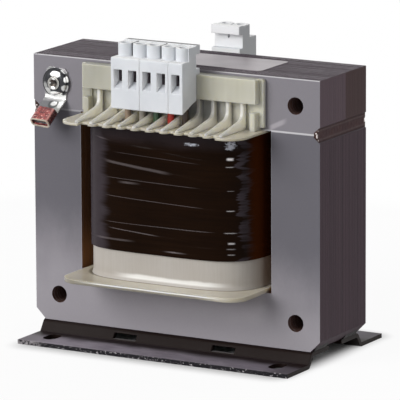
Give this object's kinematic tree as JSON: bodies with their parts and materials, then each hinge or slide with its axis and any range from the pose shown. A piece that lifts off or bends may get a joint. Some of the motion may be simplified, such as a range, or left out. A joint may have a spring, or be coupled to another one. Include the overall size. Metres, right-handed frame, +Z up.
{
  "type": "control transformer",
  "caption": "Open control transformer: welded EI core on two slotted foot rails, taped coil on a combed nylon former, screw terminals front and back, earth lug.",
  "frame": {"origin": "centre of the footprint on the floor under the foot rails", "axes": "+X along the core to the right, +Y from the front terminals to the back, +Z up"},
  "size_m": [0.15, 0.0968, 0.1441],
  "materials": {
    "lamination": "varnished silicon steel laminations, brown-grey on the cut edges",
    "weld_bead": "bare weld bead with heat colours",
    "black_paint": "glossy black paint on folded sheet steel",
    "nylon": "milky translucent moulded nylon",
    "margin_paper": "pale satin insulation band",
    "coil_tape": "glossy dark brown polyester tape",
    "terminal_plastic": "cool light grey moulded plastic",
    "clamp_steel": "zinc-plated clamp and screw steel",
    "lead_orange": "orange wire insulation",
    "lead_cream": "cream wire insulation",
    "lead_green": "green wire insulation",
    "lead_red": "red wire insulation",
    "lead_brown": "dark brown wire insulation",
    "bright_zinc": "bright zinc and tin plating",
    "red_sleeve": "red translucent insulating sleeve"
  },
  "bodies": {
    "root": {"e_core": "lamination", "i_yoke": "lamination", "left_joint_weld": "weld_bead", "right_joint_weld": "weld_bead", "front_foot_rail": "black_paint", "rear_foot_rail": "black_paint", "left_foot_welds": "weld_bead", "right_foot_welds": "weld_bead", "former_tube": "nylon", "former_lower_flange": "nylon", "former_upper_flange": "nylon", "margin_band": "margin_paper", "coil_wrap": "coil_tape", "front_terminal_bar": "nylon", "rear_terminal_bar": "nylon", "front_comb_ribs": "nylon", "rear_comb_ribs": "nylon", "front_terminal_left": "terminal_plastic", "front_terminal_middle": "terminal_plastic", "front_terminal_right": "terminal_plastic", "rear_terminal": "terminal_plastic", "front_terminal_clamps": "clamp_steel", "rear_terminal_clamps": "clamp_steel", "front_terminal_screws": "clamp_steel", "rear_terminal_screws": "clamp_steel", "front_lead_1": "lead_orange", "front_lead_2": "lead_cream", "front_lead_3": "lead_green", "front_lead_4": "lead_red", "front_lead_5": "lead_brown", "rear_lead_1": "lead_red", "rear_lead_2": "lead_brown", "earth_bolt": "bright_zinc", "earth_washer": "bright_zinc", "earth_lug": "bright_zinc", "earth_nut": "bright_zinc", "lug_sleeve": "red_sleeve"}
  },
  "joints": []
}
